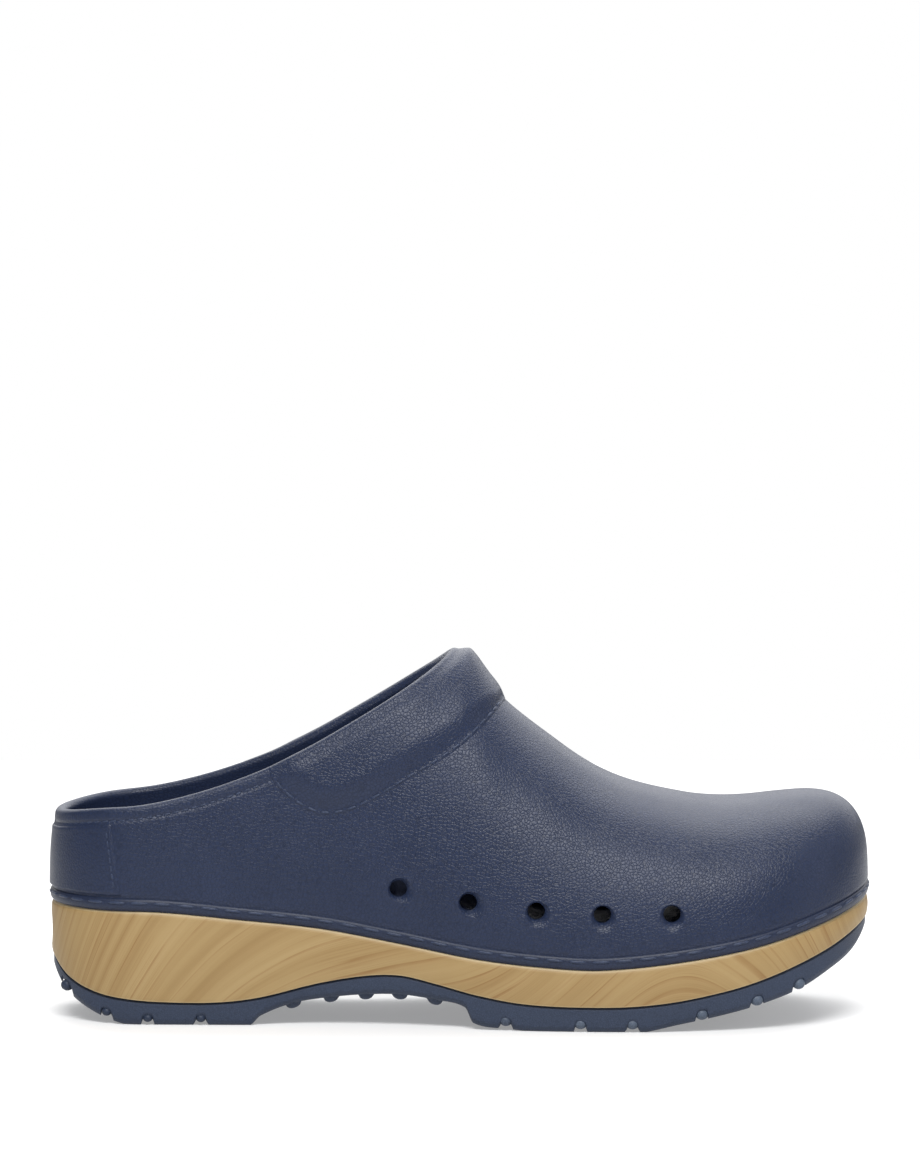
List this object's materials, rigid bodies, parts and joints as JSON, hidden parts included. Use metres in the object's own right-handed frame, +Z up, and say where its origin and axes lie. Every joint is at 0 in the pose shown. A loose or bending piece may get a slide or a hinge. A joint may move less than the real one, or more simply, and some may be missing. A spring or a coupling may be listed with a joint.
{
  "type": "garden clog",
  "caption": "Moulded garden clog with an open low heel, padded instep collar, side vents, wood-look midsole, lugged outsole and lift-out footbed.",
  "frame": {"origin": "on the ground, under the middle of the clog's length and width", "axes": "+X towards the toe, +Y towards the inner side of the foot, +Z up"},
  "size_m": [0.2701, 0.1028, 0.1217],
  "materials": {
    "upper": "satin",
    "midsole": "matte",
    "outsole": "matte",
    "footbed": "matte"
  },
  "bodies": {
    "shoe": {"upper_shell": "upper", "instep_collar": "upper", "heel_counter": "upper", "welt": "upper", "midsole": "midsole", "heel_badge": "midsole", "outsole": "outsole"},
    "insert": {"footbed": "footbed"}
  },
  "joints": [
    {"name": "footbed_lift", "type": "hinge", "parent": "shoe", "child": "insert", "pos_m": [0.1286, 0.0067, 0.0408], "axis": [0, 1, 0], "range_deg": [0, 6]}
  ]
}
